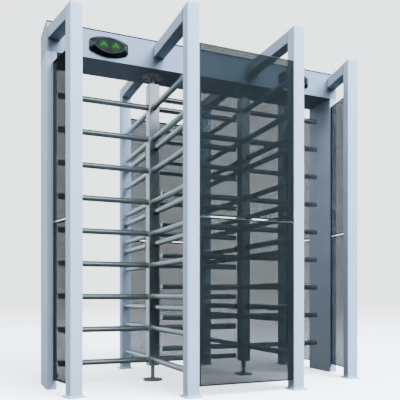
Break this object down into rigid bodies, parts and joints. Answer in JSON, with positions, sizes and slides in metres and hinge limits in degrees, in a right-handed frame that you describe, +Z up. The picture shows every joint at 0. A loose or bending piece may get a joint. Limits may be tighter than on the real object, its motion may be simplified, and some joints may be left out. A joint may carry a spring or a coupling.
{
  "type": "full height turnstile",
  "caption": "Two-lane full height turnstile: four-wing rotors under an overhead beam, fixed comb bars, perforated barrier panels, locks and lane displays.",
  "frame": {"origin": "on the floor, under the middle of the overhead beam", "axes": "+Z up, +X along the beam to the right as seen from the front, +Y through the lanes to the rear"},
  "size_m": [2.308, 1.608, 2.423],
  "materials": {
    "frame_paint": "smooth light silver-blue powder coat",
    "panel_paint": "dark grey powder coat on fine perforated sheet",
    "bar_steel": "stainless tube, brushed along its length",
    "column_steel": "stainless square tube, brushed upright",
    "lock_steel": "ground tool steel",
    "spindle_steel": "turned bright steel",
    "pivot_steel": "dark turned iron",
    "bearing_iron": "dark cast iron",
    "seal_rubber": "dark sponge rubber",
    "cap_rubber": "black moulded rubber",
    "hinge_steel": "zinc plated",
    "screw_steel": "stainless button heads",
    "solenoid_case": "black coil case",
    "control_case": "grey moulded enclosure",
    "display_plastic": "gloss black oval surround",
    "display_glass": "dark smoked lens",
    "go_green": "pale green lit arrow",
    "stop_red": "dull red unlit cross"
  },
  "bodies": {
    "frame": {"base_plates": "frame_paint", "beam_end_caps": "frame_paint", "beam_trough": "frame_paint", "bearing_housings": "bearing_iron", "column_feet": "frame_paint", "comb_caps": "cap_rubber", "control_box": "control_case", "display_housings": "display_plastic", "display_lenses": "display_glass", "front_comb_bars": "bar_steel", "front_left_inner_post": "frame_paint", "front_left_outer_post": "frame_paint", "front_middle_panels": "panel_paint", "front_right_inner_post": "frame_paint", "front_right_outer_post": "frame_paint", "go_arrows": "go_green", "inner_arms": "frame_paint", "left_end_column": "frame_paint", "left_floor_pivot": "pivot_steel", "left_side_panels": "panel_paint", "lid_hinges": "hinge_steel", "lid_seal": "seal_rubber", "lock_plates": "lock_steel", "lock_solenoids": "solenoid_case", "outer_arms": "frame_paint", "panel_screws": "screw_steel", "post_caps": "frame_paint", "rear_comb_bars": "bar_steel", "rear_left_inner_post": "frame_paint", "rear_left_outer_post": "frame_paint", "rear_middle_panels": "panel_paint", "rear_right_inner_post": "frame_paint", "rear_right_outer_post": "frame_paint", "right_end_column": "frame_paint", "right_floor_pivot": "pivot_steel", "right_side_panels": "panel_paint", "stop_crosses": "stop_red", "upper_bearings": "spindle_steel"},
    "left_rotor": {"left_bar_plugs": "bar_steel", "left_bottom_plug": "spindle_steel", "left_index_disc": "lock_steel", "left_rotor_column": "column_steel", "left_top_spindle": "spindle_steel", "left_wing_bars": "bar_steel"},
    "right_rotor": {"right_bar_plugs": "bar_steel", "right_bottom_plug": "spindle_steel", "right_index_disc": "lock_steel", "right_rotor_column": "column_steel", "right_top_spindle": "spindle_steel", "right_wing_bars": "bar_steel"},
    "left_entry_pawl": {"left_entry_pawl": "lock_steel"},
    "left_entry_plunger": {"left_entry_plunger": "spindle_steel"},
    "left_exit_pawl": {"left_exit_pawl": "lock_steel"},
    "left_exit_plunger": {"left_exit_plunger": "spindle_steel"},
    "left_lid": {"left_lid": "frame_paint"},
    "right_entry_pawl": {"right_entry_pawl": "lock_steel"},
    "right_entry_plunger": {"right_entry_plunger": "spindle_steel"},
    "right_exit_pawl": {"right_exit_pawl": "lock_steel"},
    "right_exit_plunger": {"right_exit_plunger": "spindle_steel"},
    "right_lid": {"right_lid": "frame_paint"}
  },
  "joints": [
    {"name": "left_rotor_turn", "type": "hinge", "parent": "frame", "child": "left_rotor", "pos_m": [-0.375, 0, 0], "axis": [0, 0, 1], "continuous": true},
    {"name": "right_rotor_turn", "type": "hinge", "parent": "frame", "child": "right_rotor", "pos_m": [0.375, 0, 0], "axis": [0, 0, 1], "continuous": true},
    {"name": "left_lid_hinge", "type": "hinge", "parent": "frame", "child": "left_lid", "pos_m": [-0.576, 0.154, 2.414], "axis": [-1, 0, 0], "range_deg": [0, 100]},
    {"name": "right_lid_hinge", "type": "hinge", "parent": "frame", "child": "right_lid", "pos_m": [0.576, 0.154, 2.414], "axis": [-1, 0, 0], "range_deg": [0, 100]},
    {"name": "left_entry_pawl_swing", "type": "hinge", "parent": "frame", "child": "left_entry_pawl", "pos_m": [-0.315, 0.112, 2.262], "axis": [0, 0, 1], "range_deg": [0, 10]},
    {"name": "left_entry_plunger_slide", "type": "slide", "parent": "frame", "child": "left_entry_plunger", "axis": [0, 1, 0], "range_m": [0, 0.0074]},
    {"name": "left_exit_pawl_swing", "type": "hinge", "parent": "frame", "child": "left_exit_pawl", "pos_m": [-0.435, -0.112, 2.262], "axis": [0, 0, 1], "range_deg": [0, 10]},
    {"name": "left_exit_plunger_slide", "type": "slide", "parent": "frame", "child": "left_exit_plunger", "axis": [0, -1, 0], "range_m": [0, 0.0074]},
    {"name": "right_entry_pawl_swing", "type": "hinge", "parent": "frame", "child": "right_entry_pawl", "pos_m": [0.435, 0.112, 2.262], "axis": [0, 0, 1], "range_deg": [0, 10]},
    {"name": "right_entry_plunger_slide", "type": "slide", "parent": "frame", "child": "right_entry_plunger", "axis": [0, 1, 0], "range_m": [0, 0.0074]},
    {"name": "right_exit_pawl_swing", "type": "hinge", "parent": "frame", "child": "right_exit_pawl", "pos_m": [0.315, -0.112, 2.262], "axis": [0, 0, 1], "range_deg": [0, 10]},
    {"name": "right_exit_plunger_slide", "type": "slide", "parent": "frame", "child": "right_exit_plunger", "axis": [0, -1, 0], "range_m": [0, 0.0074]}
  ],
  "couplings": [
    {"joint": "left_entry_plunger_slide", "follows": "left_entry_pawl_swing", "m_per_rad": 0.042},
    {"joint": "left_exit_plunger_slide", "follows": "left_exit_pawl_swing", "m_per_rad": 0.042},
    {"joint": "right_entry_plunger_slide", "follows": "right_entry_pawl_swing", "m_per_rad": 0.042},
    {"joint": "right_exit_plunger_slide", "follows": "right_exit_pawl_swing", "m_per_rad": 0.042}
  ]
}
